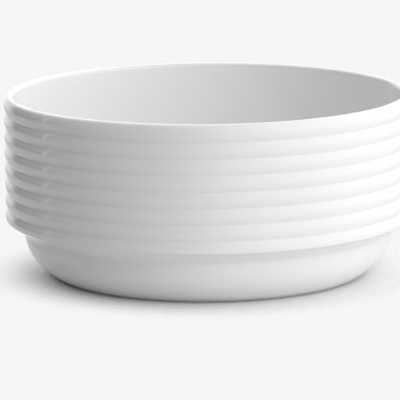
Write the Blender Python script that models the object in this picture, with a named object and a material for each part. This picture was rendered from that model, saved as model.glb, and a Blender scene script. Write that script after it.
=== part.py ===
"""Ribbed porcelain shaving bowl: the fired body, its glaze coat and the glaze in its foot recess.

Metres, +Z up. The origin is the centre of the ring that the bowl stands on. Every solid is an
outline in the X-Z plane turned about the Z axis. The outlines come from one finished surface:
the glaze lies on that surface, and the body lies one glaze thickness and one gap inside it.
"""

import math

import bpy

# Overall sizes
RIB_RADIUS = 0.0650        # crest of the ribs, the widest part of the bowl
HEIGHT = 0.0580            # rim above the table

# Ribbed band
RIB_COUNT = 8              # the top rib runs into the rim
RIB_DEPTH = 0.0007         # crest to groove
RIM_LIP = 0.0005           # rim above the end of the top rib
RIM_THICKNESS = 0.0026     # full round edge
LEDGE_HEIGHT = 0.0180      # outer end of the ledge's slope, under the lowest rib
LEDGE_CUT = 0.00115        # how much of the lowest rib lies below that height
LEDGE_CORNER = 0.0008      # round edge between the lowest rib and the slope
LEDGE_SLOPE = 33.5         # degrees from level; the ledge falls towards the lower wall
LEDGE_FILLET = 0.0020      # round corner where the ledge meets the lower wall
LEDGE_WIDTH = 0.0060       # crest of the ribs to the top of the lower wall

# Smooth lower wall, from the ledge to the foot
WALL_TOP_DRAFT = 5.0       # degrees from upright just under the ledge
WALL_FOOT_FLARE = 54.0     # degrees from upright just over the foot
WALL_TOP_REACH = 0.0044    # length of the stretch that keeps the upper slope
WALL_FOOT_REACH = 0.0081   # length of the stretch that keeps the lower slope

# Foot ring
FOOT_INSET = 0.0095        # top of the lower wall to the outer edge of the ring
FOOT_WIDTH = 0.0035        # bare face that stands on the table
FOOT_RECESS = 0.0025       # depth of the hollow inside the ring
FOOT_BARE = 0.0008         # height on the ring where the glaze ends
RECESS_FILLET = 0.0012

# Inside
FLOOR_THICKNESS = 0.0045
FLOOR_INSET = 0.0095       # outer edge of the foot ring to the edge of the flat inside floor
SHOULDER_RISE = 0.0160     # ledge to where the inner wall starts to turn towards the floor
SHOULDER_OUTSET = 0.0020   # top of the lower wall to the inner wall at the shoulder
SHOULDER_REACH = 0.0100    # length of the stretch that stays upright below the shoulder
FLOOR_REACH = 0.0160       # length of the stretch that stays level outside the flat floor

# Layers
GLAZE_THICKNESS = 0.0003
LAYER_GAP = 0.0003         # clearance between the glaze and the body

# Fineness of the faceted solids
TURN_STEPS = 40
RIB_STEPS = 4
RIM_STEPS = 5
WALL_STEPS = 7
BOWL_STEPS = 7
CORNER_STEPS = 2
WELD_DISTANCE = 0.00001


def clear_scene():
    """Remove every object that the start-up scene holds."""
    for item in list(bpy.data.objects):
        bpy.data.objects.remove(item, do_unlink=True)


def arc(centre, radius, start, end, steps):
    """Points along an arc; angles in degrees, from outward (+X) towards up (+Z)."""
    points = []
    for step in range(steps + 1):
        angle = math.radians(start + (end - start) * step / steps)
        points.append((centre[0] + radius * math.cos(angle), centre[1] + radius * math.sin(angle)))
    return points


def bezier(first, first_handle, last_handle, last, steps):
    """Points along a cubic curve, both ends included."""
    points = []
    for step in range(steps + 1):
        t = step / steps
        weights = ((1 - t) ** 3, 3 * t * (1 - t) ** 2, 3 * t * t * (1 - t), t ** 3)
        corners = (first, first_handle, last_handle, last)
        points.append(tuple(sum(w * c[axis] for w, c in zip(weights, corners)) for axis in (0, 1)))
    return points


def without_repeats(points):
    """The same points, leaving out any that repeats the one before it."""
    kept = [points[0]]
    for point in points[1:]:
        if math.dist(point, kept[-1]) > WELD_DISTANCE:
            kept.append(point)
    return kept


def wall_top_radius():
    """Radius of the lower wall where it meets the ledge."""
    return RIB_RADIUS - LEDGE_WIDTH


def foot_radius():
    """Outer radius of the foot ring."""
    return wall_top_radius() - FOOT_INSET


def floor_height():
    """Height of the inside floor."""
    return FOOT_RECESS + FLOOR_THICKNESS


def rib_pitch():
    """Height of one whole rib: the ribs share the band evenly."""
    return (HEIGHT - RIM_LIP - LEDGE_HEIGHT + LEDGE_CUT) / RIB_COUNT


def rib_round():
    """Radius of the arc that each rib follows between two grooves."""
    half = rib_pitch() / 2
    return (half * half + RIB_DEPTH * RIB_DEPTH) / (2 * RIB_DEPTH)


def rib_spread():
    """Half the angle, in degrees, that a rib's arc covers."""
    return math.degrees(math.asin(rib_pitch() / 2 / rib_round()))


def rib_centre(number):
    """Centre of a rib's arc; rib 0 is the top one."""
    return (RIB_RADIUS - rib_round(), HEIGHT - RIM_LIP - (number + 0.5) * rib_pitch())


def edge_centre(number, radius, height):
    """Centre, at a set height, of a round edge that a rib's arc runs into without a corner."""
    rib_r, rib_z = rib_centre(number)
    reach = rib_round() - radius
    return (rib_r + math.sqrt(reach * reach - (height - rib_z) ** 2), height)


def edge_angle(number, centre):
    """Angle, in degrees, at which a rib's arc meets the round edge with this centre."""
    rib_r, rib_z = rib_centre(number)
    return math.degrees(math.atan2(centre[1] - rib_z, centre[0] - rib_r))


def rim_centre():
    """Centre of the rim's round edge."""
    return edge_centre(0, RIM_THICKNESS / 2, HEIGHT - RIM_THICKNESS / 2)


def ledge_edge_centre():
    """Centre of the round edge under the lowest rib."""
    rise = LEDGE_CORNER * math.cos(math.radians(LEDGE_SLOPE))
    return edge_centre(RIB_COUNT - 1, LEDGE_CORNER, LEDGE_HEIGHT + rise)


def ledge_fillet_centre():
    """Centre of the round corner that touches both the ledge's slope and the lower wall."""
    slope = math.radians(LEDGE_SLOPE)
    edge_r, edge_z = ledge_edge_centre()
    centre_r = wall_top_radius() + LEDGE_FILLET
    across = LEDGE_CORNER + LEDGE_FILLET + (edge_r - centre_r) * math.sin(slope)
    return (centre_r, edge_z - across / math.cos(slope))


def inside_outline():
    """Finished inside, from the floor's centre to the start of the rim's round edge."""
    rim_r, rim_z = rim_centre()
    wall_top = (rim_r - RIM_THICKNESS / 2, rim_z)
    floor_z = floor_height()
    floor_edge = (foot_radius() - FLOOR_INSET, floor_z)
    shoulder = (wall_top_radius() + SHOULDER_OUTSET, LEDGE_HEIGHT + SHOULDER_RISE)
    level_end = (floor_edge[0] + FLOOR_REACH, floor_z)
    upright_end = (shoulder[0], shoulder[1] - SHOULDER_REACH)
    turn = bezier(floor_edge, level_end, upright_end, shoulder, BOWL_STEPS)
    return [(0.0, floor_z)] + turn + [wall_top]


def ribbed_outline():
    """Finished rim and ribs, from the rim's inner side down to the ledge's round edge."""
    rim_join = edge_angle(0, rim_centre())
    ledge_join = edge_angle(RIB_COUNT - 1, ledge_edge_centre())
    points = arc(rim_centre(), RIM_THICKNESS / 2, 180, rim_join, RIM_STEPS)
    for number in range(RIB_COUNT):
        start = rim_join if number == 0 else rib_spread()
        end = ledge_join if number == RIB_COUNT - 1 else -rib_spread()
        points += arc(rib_centre(number), rib_round(), start, end, RIB_STEPS)
    return points


def ledge_outline():
    """Finished round edge, slope and inner corner of the ledge under the ribs."""
    edge = ledge_edge_centre()
    corner = ledge_fillet_centre()
    outer_join = edge_angle(RIB_COUNT - 1, edge)
    points = arc(edge, LEDGE_CORNER, outer_join, LEDGE_SLOPE - 90, CORNER_STEPS)
    return points + arc(corner, LEDGE_FILLET, LEDGE_SLOPE + 90, 180 - WALL_TOP_DRAFT, CORNER_STEPS)


def foot_slope():
    """Unit direction down the wall where it reaches the foot."""
    flare = math.radians(WALL_FOOT_FLARE)
    return (-math.sin(flare), -math.cos(flare))


def glaze_line():
    """Where the outside glaze ends, on the straight run of the wall into the foot ring."""
    slope = foot_slope()
    run = FOOT_BARE / -slope[1]
    return (foot_radius() - slope[0] * run, FOOT_BARE)


def wall_outline():
    """Finished lower wall, from the ledge's inner corner to the line where the glaze ends."""
    top = ledge_outline()[-1]
    draft = math.radians(WALL_TOP_DRAFT)
    slope = foot_slope()
    end = glaze_line()
    top_handle = (top[0] - WALL_TOP_REACH * math.sin(draft), top[1] - WALL_TOP_REACH * math.cos(draft))
    foot_handle = (end[0] - WALL_FOOT_REACH * slope[0], end[1] - WALL_FOOT_REACH * slope[1])
    return bezier(top, top_handle, foot_handle, end, WALL_STEPS)


def outside_path():
    """Finished surface of the main glaze: floor, inner wall, rim, ribs, ledge and lower wall."""
    points = inside_outline() + ribbed_outline() + ledge_outline() + wall_outline()
    return without_repeats(points)


def recess_path():
    """Finished surface of the hollow under the bowl, from the ring's inner side to the centre."""
    side_r = foot_radius() - FOOT_WIDTH
    centre = (side_r - RECESS_FILLET, FOOT_RECESS - RECESS_FILLET)
    points = [(side_r, FOOT_BARE)] + arc(centre, RECESS_FILLET, 0, 90, CORNER_STEPS)
    return without_repeats(points + [(0.0, FOOT_RECESS)])


def sunk(points, depth):
    """The path moved sideways into the body by the same depth all along it.

    The body lies on the right of a path's direction of travel. The ends move square to the
    path, so an end on the axis stays on the axis.
    """
    sides = []
    for first, second in zip(points, points[1:]):
        length = math.dist(first, second)
        sides.append(((second[1] - first[1]) / length, (first[0] - second[0]) / length))
    moved = []
    for index, (r, z) in enumerate(points):
        before = sides[max(index - 1, 0)]
        after = sides[min(index, len(sides) - 1)]
        scale = depth / (1 + before[0] * after[0] + before[1] * after[1])
        moved.append((r + (before[0] + after[0]) * scale, z + (before[1] + after[1]) * scale))
    return moved


def stepped(first, second, length):
    """The point a length past the second point, on the line from the first."""
    run = math.dist(first, second)
    return tuple(b + (b - a) / run * length for a, b in zip(first, second))


def body_outline():
    """Fired body: inside and outside under the glaze, the bare foot ring and the recess."""
    outer = outside_path()
    recess = recess_path()
    layer = GLAZE_THICKNESS + LAYER_GAP
    outer_bare = stepped(outer[-2], outer[-1], LAYER_GAP)
    recess_bare = (recess[0][0], recess[0][1] - LAYER_GAP)
    outer_sunk = sunk(outer[:-1] + [outer_bare], layer)
    recess_sunk = sunk([recess_bare] + recess[1:], layer)
    ring = [outer_bare, (foot_radius(), 0.0), (foot_radius() - FOOT_WIDTH, 0.0), recess_bare]
    return outer_sunk + ring + recess_sunk


def coat_outline():
    """Glaze over the inside, the rim, the ribs, the ledge and the lower wall."""
    path = outside_path()
    return path + sunk(path, GLAZE_THICKNESS)[::-1]


def recess_glaze_outline():
    """Glaze in the hollow inside the foot ring."""
    path = recess_path()
    return sunk(path, GLAZE_THICKNESS)[::-1] + path


def turned(name, outline, material):
    """A closed solid: the outline, which starts and ends on the axis, turned about Z."""
    mesh = bpy.data.meshes.new(name)
    corners = [(r, 0.0, z) for r, z in outline]
    edges = [(index, index + 1) for index in range(len(corners) - 1)]
    mesh.from_pydata(corners, edges, [])
    mesh.materials.append(material)
    solid = bpy.data.objects.new(name, mesh)
    bpy.context.scene.collection.objects.link(solid)
    turn = solid.modifiers.new("turn", "SCREW")
    turn.axis = "Z"
    turn.steps = TURN_STEPS
    turn.render_steps = TURN_STEPS
    turn.use_merge_vertices = True
    turn.merge_threshold = WELD_DISTANCE
    turn.use_smooth_shade = True
    return solid


def surface_material(name, colour, roughness):
    """A Principled material of one colour."""
    material = bpy.data.materials.new(name)
    material.use_nodes = True
    shader = material.node_tree.nodes["Principled BSDF"]
    shader.inputs["Base Color"].default_value = (*colour, 1.0)
    shader.inputs["Roughness"].default_value = roughness
    shader.inputs["Metallic"].default_value = 0.0
    return material


def build():
    """Make the three solids, hung from one empty at the bowl's origin."""
    clear_scene()
    origin = bpy.data.objects.new("bowl_origin", None)
    bpy.context.scene.collection.objects.link(origin)
    bare = surface_material("bare_porcelain", (0.80, 0.78, 0.74), 0.62)
    gloss = surface_material("white_glaze", (0.86, 0.86, 0.855), 0.08)
    recess = surface_material("recess_glaze", (0.83, 0.83, 0.82), 0.14)
    solids = [
        turned("porcelain_body", body_outline(), bare),
        turned("glaze_coat", coat_outline(), gloss),
        turned("foot_recess_glaze", recess_glaze_outline(), recess),
    ]
    for solid in solids:
        solid.parent = origin


build()
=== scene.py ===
"""Looks of the ribbed porcelain shaving bowl: fine turned surfaces, glaze, bare foot, light and camera.

Metres, +Z up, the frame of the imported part. The three pieces repeat the part's own profile at a
finer step and add what the plain solids leave out: glaze pooled in the grooves, the rolled edge
where the glaze ends, and the slight unevenness of a fired pot.
"""

import math

import bpy
from mathutils import Matrix, Vector, noise


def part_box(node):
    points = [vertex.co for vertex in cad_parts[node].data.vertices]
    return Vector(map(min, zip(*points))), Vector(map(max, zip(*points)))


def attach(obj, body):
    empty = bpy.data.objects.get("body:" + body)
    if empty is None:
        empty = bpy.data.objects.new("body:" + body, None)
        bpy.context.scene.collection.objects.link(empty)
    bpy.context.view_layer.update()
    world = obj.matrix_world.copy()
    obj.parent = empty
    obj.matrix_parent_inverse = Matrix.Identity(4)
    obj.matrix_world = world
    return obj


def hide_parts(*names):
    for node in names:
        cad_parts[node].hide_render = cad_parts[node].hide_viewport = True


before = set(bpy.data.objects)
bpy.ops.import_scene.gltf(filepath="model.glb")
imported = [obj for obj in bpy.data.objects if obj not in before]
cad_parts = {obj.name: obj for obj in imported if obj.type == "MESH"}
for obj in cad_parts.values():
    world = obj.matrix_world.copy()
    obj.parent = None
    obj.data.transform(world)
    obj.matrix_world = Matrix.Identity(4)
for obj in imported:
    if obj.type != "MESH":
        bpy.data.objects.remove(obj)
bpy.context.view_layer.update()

# Sizes read from the frame
coat_low, coat_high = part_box("glaze_coat")
RIB_RADIUS = coat_high.x
HEIGHT = coat_high.z
GLAZE_LINE = coat_low.z    # height on the foot ring where the glaze ends

# Sizes of the design that a box doesn't show
RIB_COUNT = 8
RIB_DEPTH = 0.0007
RIM_LIP = 0.0005
RIM_THICKNESS = 0.0026
LEDGE_HEIGHT = 0.0180
LEDGE_CUT = 0.00115
LEDGE_CORNER = 0.0008
LEDGE_SLOPE = 33.5         # degrees from level
LEDGE_FILLET = 0.0020
LEDGE_WIDTH = 0.0060
WALL_TOP_DRAFT = 5.0       # degrees from upright
WALL_FOOT_FLARE = 54.0     # degrees from upright
WALL_TOP_REACH = 0.0044
WALL_FOOT_REACH = 0.0081
FOOT_INSET = 0.0095
FOOT_WIDTH = 0.0035
FOOT_RECESS = 0.0025
RECESS_FILLET = 0.0012
FLOOR_THICKNESS = 0.0045
FLOOR_INSET = 0.0095
SHOULDER_RISE = 0.0160
SHOULDER_OUTSET = 0.0020
SHOULDER_REACH = 0.0100
FLOOR_REACH = 0.0160
GLAZE_THICKNESS = 0.0003
LAYER_GAP = 0.0003
WALL_TOP_RADIUS = RIB_RADIUS - LEDGE_WIDTH
FOOT_RADIUS = WALL_TOP_RADIUS - FOOT_INSET
RIB_PITCH = (HEIGHT - RIM_LIP - LEDGE_HEIGHT + LEDGE_CUT) / RIB_COUNT
RIB_ROUND = ((RIB_PITCH / 2) ** 2 + RIB_DEPTH ** 2) / (2 * RIB_DEPTH)

# Camera: place as shares of the rib radius, turn in radians, lens in millimetres
CAMERA_DISTANCE = 16.987
CAMERA_HEIGHT = 3.5618
CAMERA_PITCH = 0.1868
CAMERA_YAW = -0.002366
CAMERA_ROLL = -0.009
SENSOR_WIDTH = 36.0
LENS = 314.8
NEAREST_SEEN = 0.01
FARTHEST_SEEN = 200.0

# Floor, and how far from the bowl's axis it starts and ends its fade into the backdrop
FLOOR_SIDE = 1.0
FLOOR_DROP = 0.00002       # keeps the floor clear of the foot's bearing face
FLOOR_TONE = 0.8
FLOOR_ROUGHNESS = 0.8
FADE_START = 0.048
FADE_END = 0.076

# The surroundings, as rings of light. Each ring is pairs of a share of a turn and a brightness:
# 0 right, 0.25 in front, 0.5 left, 0.75 behind, 1 right again.
BACKDROP_TONE = 0.92
ROOM_STRENGTH = 3.0
FLOOR_GLOW = ((0.0, 0.95), (0.25, 0.9), (0.38, 0.3), (0.5, 0.2), (0.7, 0.4), (1.0, 0.95))
FAR_FLOOR = (
    (0.0, 0.8),
    (0.13, 1.1),
    (0.21, 1.3),
    (0.29, 0.8),
    (0.38, 0.2),
    (0.47, 0.2),
    (0.54, 1.0),
    (0.66, 0.8),
    (1.0, 0.8),
)
# Level with the bowl: dark at the left, with one narrow bright strip in it
DARK_CARDS = (
    (0.0, 1.4),
    (0.13, 1.6),
    (0.21, 1.3),
    (0.29, 0.1),
    (0.465, 0.1),
    (0.475, 0.0),
    (0.533, 0.0),
    (0.535, 1.4),
    (0.541, 1.4),
    (0.543, 0.0),
    (0.63, 0.0),
    (0.66, 1.2),
    (1.0, 1.4),
)
LOW_SCREENS = (
    (0.0, 1.4),
    (0.13, 1.6),
    (0.21, 1.3),
    (0.29, 0.2),
    (0.34, 0.0),
    (0.54, 0.0),
    (0.63, 1.2),
    (0.71, 1.8),
    (0.8, 1.6),
    (1.0, 1.4),
)
HIGH_SCREENS = (
    (0.0, 1.6),
    (0.13, 2.0),
    (0.21, 1.3),
    (0.29, 0.6),
    (0.38, 0.0),
    (0.46, 0.0),
    (0.54, 0.8),
    (0.62, 2.2),
    (0.71, 2.3),
    (0.8, 1.7),
    (1.0, 1.6),
)
OVERHEAD = ((0.0, 0.8), (0.38, 0.7), (0.63, 1.0), (1.0, 0.8))

# Each ring above the lowest, with the elevations in degrees between which it takes over.
UPPER_RINGS = (
    (-36, -24, FAR_FLOOR),
    (-9, -6, DARK_CARDS),
    (16, 22, LOW_SCREENS),
    (26, 36, HIGH_SCREENS),
    (50, 65, OVERHEAD),
)

# Materials: the two ends of each slight change of colour, and how rough the glaze is
WHITE_TONE = (0.845, 0.845, 0.842, 1)
WHITE_CLOUDED = (0.83, 0.832, 0.833, 1)
WHITE_ROUGHNESS = 0.045
RECESS_TONE = (0.83, 0.83, 0.82, 1)
RECESS_CLOUDED = (0.80, 0.80, 0.79, 1)
RECESS_ROUGHNESS = 0.13
ROUGHNESS_LEAST = 0.75     # shares of a glaze's roughness between which its gloss varies
ROUGHNESS_MOST = 1.35
GLAZE_IOR = 1.52
CLAY_DARK = (0.66, 0.63, 0.58, 1)
CLAY_LIGHT = (0.78, 0.76, 0.72, 1)
CLAY_ROUGHNESS = 0.62

# Finish that only the fine surfaces have
GROOVE_FILLET = 0.00032    # glaze pooled in each groove
FOOT_ROUND = 0.0004        # worn edges of the bare ring
FOOT_EDGE_START = -39      # degrees from level at which the outer worn edge starts
WARP_DEPTH = 0.00005       # how far the fired pot is from truly round
WARP_ACROSS = 14           # how quickly the warp changes sideways, and upwards
WARP_UP = 9
SHARP_CORNER = 50          # degrees between faces, past which an edge is not shaded smooth

# How finely the surfaces are stepped
TURN_STEPS = 240
RIB_STEPS = 10
GROOVE_STEPS = 4
RIM_STEPS = 12
WALL_STEPS = 24
BOWL_STEPS = 28
FLAT_STEPS = 4
CORNER_STEPS = 6
WELD_DISTANCE = 0.00001


def arc(centre, radius, start, end, steps):
    """Points along an arc; angles in degrees, from outward (+X) towards up (+Z)."""
    points = []
    for step in range(steps + 1):
        angle = math.radians(start + (end - start) * step / steps)
        points.append((centre[0] + radius * math.cos(angle), centre[1] + radius * math.sin(angle)))
    return points


def bezier(first, first_handle, last_handle, last, steps):
    """Points along a cubic curve, both ends included."""
    points = []
    for step in range(steps + 1):
        t = step / steps
        weights = ((1 - t) ** 3, 3 * t * (1 - t) ** 2, 3 * t * t * (1 - t), t ** 3)
        corners = (first, first_handle, last_handle, last)
        points.append(tuple(sum(w * c[axis] for w, c in zip(weights, corners)) for axis in (0, 1)))
    return points


def straight(first, last, steps):
    """Evenly spaced points along a line, both ends included."""
    return [tuple(a + (b - a) * step / steps for a, b in zip(first, last)) for step in range(steps + 1)]


def without_repeats(points):
    """The same points, leaving out any that repeats the one before it."""
    kept = [points[0]]
    for point in points[1:]:
        if math.dist(point, kept[-1]) > WELD_DISTANCE:
            kept.append(point)
    return kept


def rib_centre(number):
    """Centre of a rib's arc; rib 0 is the top one."""
    return (RIB_RADIUS - RIB_ROUND, HEIGHT - RIM_LIP - (number + 0.5) * RIB_PITCH)


def edge_centre(number, radius, height):
    """Centre, at a set height, of a round edge that a rib's arc runs into without a corner."""
    rib_r, rib_z = rib_centre(number)
    reach = RIB_ROUND - radius
    return (rib_r + math.sqrt(reach * reach - (height - rib_z) ** 2), height)


def edge_angle(number, centre):
    """Angle, in degrees, at which a rib's arc meets the round edge with this centre."""
    rib_r, rib_z = rib_centre(number)
    return math.degrees(math.atan2(centre[1] - rib_z, centre[0] - rib_r))


def groove_fillet():
    """How far out a pooled groove's arc is centred, and the angle at which it meets the ribs."""
    reach = RIB_ROUND + GROOVE_FILLET
    angle = math.asin(RIB_PITCH / 2 / reach)
    return RIB_RADIUS - RIB_ROUND + reach * math.cos(angle), math.degrees(angle)


def inside_outline(rim):
    """Finished inside, from the floor's centre to the start of the rim's round edge."""
    wall_top = (rim[0] - RIM_THICKNESS / 2, rim[1])
    floor_z = FOOT_RECESS + FLOOR_THICKNESS
    floor_edge = (FOOT_RADIUS - FLOOR_INSET, floor_z)
    shoulder = (WALL_TOP_RADIUS + SHOULDER_OUTSET, LEDGE_HEIGHT + SHOULDER_RISE)
    level_end = (floor_edge[0] + FLOOR_REACH, floor_z)
    upright_end = (shoulder[0], shoulder[1] - SHOULDER_REACH)
    points = straight((0.0, floor_z), floor_edge, FLAT_STEPS)
    points += bezier(floor_edge, level_end, upright_end, shoulder, BOWL_STEPS)
    return points + straight(shoulder, wall_top, FLAT_STEPS)


def ribbed_outline(rim, ledge):
    """Finished rim and ribs, with glaze pooled in the grooves, down to the ledge's round edge."""
    pool_r, spread = groove_fillet()
    last = RIB_COUNT - 1
    points = arc(rim, RIM_THICKNESS / 2, 180, edge_angle(0, rim), RIM_STEPS)
    for number in range(RIB_COUNT):
        start = edge_angle(0, rim) if number == 0 else spread
        end = edge_angle(last, ledge) if number == last else -spread
        points += arc(rib_centre(number), RIB_ROUND, start, end, RIB_STEPS)
        if number < last:
            pool = (pool_r, rib_centre(number)[1] - RIB_PITCH / 2)
            points += arc(pool, GROOVE_FILLET, 180 - spread, 180 + spread, GROOVE_STEPS)
    return points


def ledge_outline(edge):
    """Finished round edge, slope and inner corner of the ledge under the ribs."""
    slope = math.radians(LEDGE_SLOPE)
    corner_r = WALL_TOP_RADIUS + LEDGE_FILLET
    across = LEDGE_CORNER + LEDGE_FILLET + (edge[0] - corner_r) * math.sin(slope)
    corner = (corner_r, edge[1] - across / math.cos(slope))
    outer_join = edge_angle(RIB_COUNT - 1, edge)
    points = arc(edge, LEDGE_CORNER, outer_join, LEDGE_SLOPE - 90, CORNER_STEPS)
    inner = arc(corner, LEDGE_FILLET, LEDGE_SLOPE + 90, 180 - WALL_TOP_DRAFT, CORNER_STEPS)
    return points + straight(points[-1], inner[0], FLAT_STEPS) + inner


def outside_path():
    """Finished surface of the main glaze: floor, inner wall, rim, ribs, ledge and lower wall."""
    rim = edge_centre(0, RIM_THICKNESS / 2, HEIGHT - RIM_THICKNESS / 2)
    ledge_rise = LEDGE_CORNER * math.cos(math.radians(LEDGE_SLOPE))
    ledge = edge_centre(RIB_COUNT - 1, LEDGE_CORNER, LEDGE_HEIGHT + ledge_rise)
    points = inside_outline(rim) + ribbed_outline(rim, ledge) + ledge_outline(ledge)
    draft, flare = math.radians(WALL_TOP_DRAFT), math.radians(WALL_FOOT_FLARE)
    top = points[-1]
    end = (FOOT_RADIUS + GLAZE_LINE * math.tan(flare), GLAZE_LINE)
    top_handle = (
        top[0] - WALL_TOP_REACH * math.sin(draft),
        top[1] - WALL_TOP_REACH * math.cos(draft),
    )
    foot_handle = (
        end[0] + WALL_FOOT_REACH * math.sin(flare),
        end[1] + WALL_FOOT_REACH * math.cos(flare),
    )
    return without_repeats(points + bezier(top, top_handle, foot_handle, end, WALL_STEPS))


def recess_path():
    """Finished surface of the hollow under the bowl, from the ring's inner side to the centre."""
    side_r = FOOT_RADIUS - FOOT_WIDTH
    centre = (side_r - RECESS_FILLET, FOOT_RECESS - RECESS_FILLET)
    points = [(side_r, GLAZE_LINE)] + arc(centre, RECESS_FILLET, 0, 90, CORNER_STEPS)
    return without_repeats(points + straight(points[-1], (0.0, FOOT_RECESS), FLAT_STEPS))


def sunk(points, depth):
    """The path moved sideways into the body by the same depth all along it.

    The body lies on the right of a path's direction of travel. The ends move square to the
    path, so an end on the axis stays on the axis.
    """
    sides = []
    for first, second in zip(points, points[1:]):
        length = math.dist(first, second)
        sides.append(((second[1] - first[1]) / length, (first[0] - second[0]) / length))
    moved = []
    for index, (r, z) in enumerate(points):
        before = sides[max(index - 1, 0)]
        after = sides[min(index, len(sides) - 1)]
        scale = depth / (1 + before[0] * after[0] + before[1] * after[1])
        moved.append((r + (before[0] + after[0]) * scale, z + (before[1] + after[1]) * scale))
    return moved


def rolled_edge(outer, inner, steps):
    """Points of the half circle that closes a layer between its two surfaces' last points."""
    middle = tuple((a + b) / 2 for a, b in zip(outer, inner))
    radius = math.dist(outer, inner) / 2
    start = math.degrees(math.atan2(outer[1] - middle[1], outer[0] - middle[0]))
    return arc(middle, radius, start, start - 180, steps)[1:-1]


def uneven(x, y, z):
    """The pot's slight warp: how far a point moves outward, from the firing."""
    return WARP_DEPTH * noise.noise(Vector((x * WARP_ACROSS, y * WARP_ACROSS, z * WARP_UP)))


def turned(name, outline, material, node):
    """A closed solid: the outline, which starts and ends on the axis, turned about Z."""
    rings = [point for point in outline if point[0] > WELD_DISTANCE]
    top, bottom = outline[0], outline[-1]
    corners = [(0.0, 0.0, top[1])]
    for r, z in rings:
        for step in range(TURN_STEPS):
            angle = 2 * math.pi * step / TURN_STEPS
            x, y = r * math.cos(angle), r * math.sin(angle)
            push = 1 + uneven(x, y, z) / RIB_RADIUS
            corners.append((x * push, y * push, z))
    corners.append((0.0, 0.0, bottom[1]))
    last_corner = len(corners) - 1
    faces = []
    for step in range(TURN_STEPS):
        after = (step + 1) % TURN_STEPS
        faces.append((0, 1 + step, 1 + after))
        for ring in range(len(rings) - 1):
            upper, lower = 1 + ring * TURN_STEPS, 1 + (ring + 1) * TURN_STEPS
            faces.append((upper + step, lower + step, lower + after, upper + after))
        base = 1 + (len(rings) - 1) * TURN_STEPS
        faces.append((last_corner, base + after, base + step))
    mesh = bpy.data.meshes.new(name)
    mesh.from_pydata(corners, [], faces)
    mesh.validate()
    mesh.materials.append(material)
    mesh.shade_smooth()
    mesh.set_sharp_from_angle(angle=math.radians(SHARP_CORNER))
    piece = bpy.data.objects.new(name, mesh)
    bpy.context.scene.collection.objects.link(piece)
    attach(piece, "root")
    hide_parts(node)


class Nodes:
    """Short calls for building one node tree."""

    def __init__(self, tree):
        self.tree = tree

    def add(self, kind, **values):
        """A new node; a value sets the node's property, or its input socket of that name."""
        node = self.tree.nodes.new("ShaderNode" + kind)
        for key, value in values.items():
            if hasattr(node, key):
                setattr(node, key, value)
            else:
                node.inputs[key.replace("_", " ")].default_value = value
        return node

    def link(self, source, target):
        """Join an output socket to an input socket."""
        self.tree.links.new(source, target)


def new_material(name):
    """A material's tree and its Principled shader."""
    material = bpy.data.materials.new(name)
    material.use_nodes = True
    nodes = Nodes(material.node_tree)
    return material, nodes, material.node_tree.nodes["Principled BSDF"]


def tinted(nodes, source, start, end, first, last):
    """A colour that runs from first to last as the source rises from start to end."""
    ramp = nodes.add("ValToRGB")
    elements = ramp.color_ramp.elements
    elements[0].position = start
    elements[0].color = first
    elements[1].position = end
    elements[1].color = last
    nodes.link(source, ramp.inputs["Fac"])
    return ramp.outputs["Color"]


def bumped(nodes, source, shader, strength):
    """Tilt the shader's surface by the source."""
    bump = nodes.add("Bump", Strength=strength, Distance=0.0001)
    nodes.link(source, bump.inputs["Height"])
    nodes.link(bump.outputs["Normal"], shader.inputs["Normal"])


def glaze(name, tone, clouded_tone, roughness):
    """White glaze: very faintly clouded, with a slightly uneven gloss and an almost flat skin."""
    material, nodes, shader = new_material(name)
    place = nodes.add("TexCoord").outputs["Object"]
    cloud = nodes.add("TexNoise", Scale=38.0, Detail=3.0, Roughness=0.55)
    shine = nodes.add("TexNoise", Scale=90.0, Detail=4.0)
    skin = nodes.add("TexNoise", Scale=260.0, Detail=2.0)
    for texture in (cloud, shine, skin):
        nodes.link(place, texture.inputs["Vector"])
    clouds = cloud.outputs["Fac"]
    colour = tinted(nodes, clouds, start=0.35, end=0.65, first=clouded_tone, last=tone)
    nodes.link(colour, shader.inputs["Base Color"])
    spread = nodes.add("MapRange")
    spread.inputs["To Min"].default_value = roughness * ROUGHNESS_LEAST
    spread.inputs["To Max"].default_value = roughness * ROUGHNESS_MOST
    nodes.link(shine.outputs["Fac"], spread.inputs["Value"])
    nodes.link(spread.outputs["Result"], shader.inputs["Roughness"])
    bumped(nodes, skin.outputs["Fac"], shader, strength=0.12)
    shader.inputs["IOR"].default_value = GLAZE_IOR
    return material


def bare_clay():
    """Fired porcelain without glaze: matt, with a fine ground grain."""
    material, nodes, shader = new_material("bare_porcelain")
    place = nodes.add("TexCoord").outputs["Object"]
    grain = nodes.add("TexNoise", Scale=900.0, Detail=6.0, Roughness=0.7)
    nodes.link(place, grain.inputs["Vector"])
    grains = grain.outputs["Fac"]
    colour = tinted(nodes, grains, start=0.3, end=0.7, first=CLAY_DARK, last=CLAY_LIGHT)
    nodes.link(colour, shader.inputs["Base Color"])
    bumped(nodes, grains, shader, strength=0.3)
    shader.inputs["Roughness"].default_value = CLAY_ROUGHNESS
    return material


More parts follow.
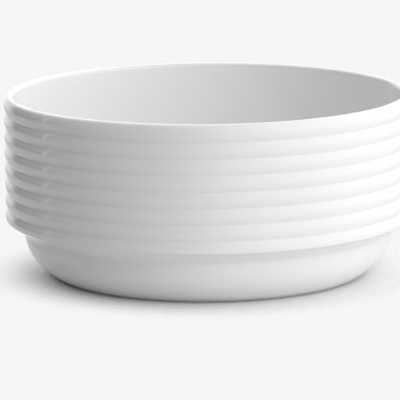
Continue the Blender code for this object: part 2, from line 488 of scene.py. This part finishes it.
def make_bowl():
    """The three pieces, each in place of its plain solid."""
    path = outside_path()
    recess = recess_path()
    coat_back = sunk(path, GLAZE_THICKNESS)
    recess_back = sunk(recess, GLAZE_THICKNESS)
    coat = path + rolled_edge(path[-1], coat_back[-1], CORNER_STEPS) + coat_back[::-1]
    recess_edge = rolled_edge(recess_back[0], recess[0], CORNER_STEPS)
    under = recess_back[::-1] + recess_edge + recess
    layer = GLAZE_THICKNESS + LAYER_GAP
    run = LAYER_GAP / math.dist(path[-2], path[-1])
    outer_bare = tuple(b + (b - a) * run for a, b in zip(path[-2], path[-1]))
    recess_bare = (recess[0][0], recess[0][1] - LAYER_GAP)
    ring = foot_ring(outer_bare, recess_bare)
    body = sunk(path[:-1] + [outer_bare], layer) + ring + sunk([recess_bare] + recess[1:], layer)
    white = glaze("white_glaze", WHITE_TONE, WHITE_CLOUDED, WHITE_ROUGHNESS)
    thin = glaze("recess_glaze", RECESS_TONE, RECESS_CLOUDED, RECESS_ROUGHNESS)
    turned("bare_foot_body", body, bare_clay(), "porcelain_body")
    turned("outer_glaze", coat, white, "glaze_coat")
    turned("recess_glaze_skin", under, thin, "foot_recess_glaze")


def foot_ring(outer_bare, recess_bare):
    """The bare ring between the two glazes, with worn edges beside its flat face."""
    inner_r = FOOT_RADIUS - FOOT_WIDTH
    outer_centre = (FOOT_RADIUS - FOOT_ROUND, FOOT_ROUND)
    inner_centre = (inner_r + FOOT_ROUND, FOOT_ROUND)
    points = [outer_bare] + arc(outer_centre, FOOT_ROUND, FOOT_EDGE_START, -90, CORNER_STEPS)
    return points + arc(inner_centre, FOOT_ROUND, -90, -180, CORNER_STEPS) + [recess_bare]


def make_floor():
    """A plain pale floor that fades into the backdrop from beside the foot to beyond the rim."""
    half = FLOOR_SIDE / 2
    mesh = bpy.data.meshes.new("floor")
    corners = [(-half, -half, 0), (half, -half, 0), (half, half, 0), (-half, half, 0)]
    mesh.from_pydata(corners, [], [(0, 1, 2, 3)])
    material, nodes, shader = new_material("floor_paper")
    shader.inputs["Base Color"].default_value = (FLOOR_TONE, FLOOR_TONE, FLOOR_TONE, 1)
    shader.inputs["Roughness"].default_value = FLOOR_ROUGHNESS
    shader.inputs["Specular IOR Level"].default_value = 0.0
    place = nodes.add("TexCoord").outputs["Object"]
    distance = nodes.add("VectorMath", operation="LENGTH")
    nodes.link(place, distance.inputs[0])
    fade = nodes.add("MapRange", interpolation_type="SMOOTHSTEP")
    fade.inputs["From Min"].default_value = FADE_START
    fade.inputs["From Max"].default_value = FADE_END
    fade.inputs["To Min"].default_value = 1.0
    fade.inputs["To Max"].default_value = 0.0
    nodes.link(distance.outputs["Value"], fade.inputs["Value"])
    nodes.link(fade.outputs["Result"], shader.inputs["Alpha"])
    mesh.materials.append(material)
    floor = bpy.data.objects.new("floor", mesh)
    floor.location.z = -FLOOR_DROP
    bpy.context.scene.collection.objects.link(floor)


def make_room():
    """Soft studio surroundings, bright to the right and dark to the left, before a plain backdrop.

    The backdrop is what the camera sees past the floor. It sheds no light of its own.
    """
    world = bpy.data.worlds.new("studio")
    bpy.context.scene.world = world
    world.use_nodes = True
    nodes = Nodes(world.node_tree)
    direction = nodes.add("TexCoord").outputs["Generated"]
    parts = nodes.add("SeparateXYZ")
    nodes.link(direction, parts.inputs["Vector"])
    share = turn_share(nodes, parts)
    light = ring_of_light(nodes, share, FLOOR_GLOW)
    for start, end, stops in UPPER_RINGS:
        rise = nodes.add("MapRange", interpolation_type="SMOOTHSTEP")
        rise.inputs["From Min"].default_value = math.sin(math.radians(start))
        rise.inputs["From Max"].default_value = math.sin(math.radians(end))
        nodes.link(parts.outputs["Z"], rise.inputs["Value"])
        blend = nodes.add("Mix", data_type="RGBA")
        nodes.link(rise.outputs["Result"], blend.inputs["Factor"])
        nodes.link(light, blend.inputs["A"])
        nodes.link(ring_of_light(nodes, share, stops), blend.inputs["B"])
        light = blend.outputs["Result"]
    lit = world.node_tree.nodes["Background"]
    nodes.link(light, lit.inputs["Color"])
    lit.inputs["Strength"].default_value = ROOM_STRENGTH
    plain = nodes.add("Background", Color=(BACKDROP_TONE, BACKDROP_TONE, BACKDROP_TONE, 1))
    seen = nodes.add("MixShader")
    nodes.link(nodes.add("LightPath").outputs["Is Camera Ray"], seen.inputs["Fac"])
    nodes.link(lit.outputs["Background"], seen.inputs[1])
    nodes.link(plain.outputs["Background"], seen.inputs[2])
    nodes.link(seen.outputs["Shader"], world.node_tree.nodes["World Output"].inputs["Surface"])


def turn_share(nodes, parts):
    """Share of a turn about the bowl: 0 right, 0.25 in front, 0.5 left, 0.75 behind, 1 right again."""
    flipped = nodes.add("Math", operation="MULTIPLY")
    flipped.inputs[1].default_value = -1.0
    nodes.link(parts.outputs["X"], flipped.inputs[0])
    turn = nodes.add("Math", operation="ARCTAN2")
    nodes.link(parts.outputs["Y"], turn.inputs[0])
    nodes.link(flipped.outputs[0], turn.inputs[1])
    share = nodes.add("MapRange")
    share.inputs["From Min"].default_value = -math.pi
    share.inputs["From Max"].default_value = math.pi
    nodes.link(turn.outputs[0], share.inputs["Value"])
    return share.outputs["Result"]


def ring_of_light(nodes, share, stops):
    """One ring of the surroundings, from pairs of share of a turn and brightness."""
    ramp = nodes.add("ValToRGB")
    nodes.link(share, ramp.inputs["Fac"])
    elements = ramp.color_ramp.elements
    while len(elements) < len(stops):
        elements.new(0.5)
    for element, (position, brightness) in zip(elements, stops):
        grey = brightness / ROOM_STRENGTH
        element.position = position
        element.color = (grey, grey, grey, 1)
    return ramp.outputs["Color"]


def make_camera():
    """A long lens a little above the rim, looking slightly down, as in a catalogue picture."""
    level = math.cos(CAMERA_PITCH)
    ahead_x = math.sin(CAMERA_YAW) * level
    ahead_y = math.cos(CAMERA_YAW) * level
    forward = Vector((ahead_x, ahead_y, -math.sin(CAMERA_PITCH)))
    right = Vector((math.cos(CAMERA_YAW), -math.sin(CAMERA_YAW), 0))
    up = right.cross(forward)
    side = right * math.cos(CAMERA_ROLL) + up * math.sin(CAMERA_ROLL)
    above = up * math.cos(CAMERA_ROLL) - right * math.sin(CAMERA_ROLL)
    data = bpy.data.cameras.new("camera")
    data.sensor_width = SENSOR_WIDTH
    data.lens = LENS
    data.clip_start = NEAREST_SEEN
    data.clip_end = FARTHEST_SEEN
    camera = bpy.data.objects.new("camera", data)
    place = (0, -CAMERA_DISTANCE * RIB_RADIUS, CAMERA_HEIGHT * RIB_RADIUS)
    turned_by = Matrix((side, above, -forward)).transposed()
    camera.matrix_world = Matrix.Translation(place) @ turned_by.to_4x4()
    bpy.context.scene.collection.objects.link(camera)
    bpy.context.scene.camera = camera


make_camera()
make_bowl()
make_floor()
make_room()
bpy.context.scene.view_settings.view_transform = "Standard"
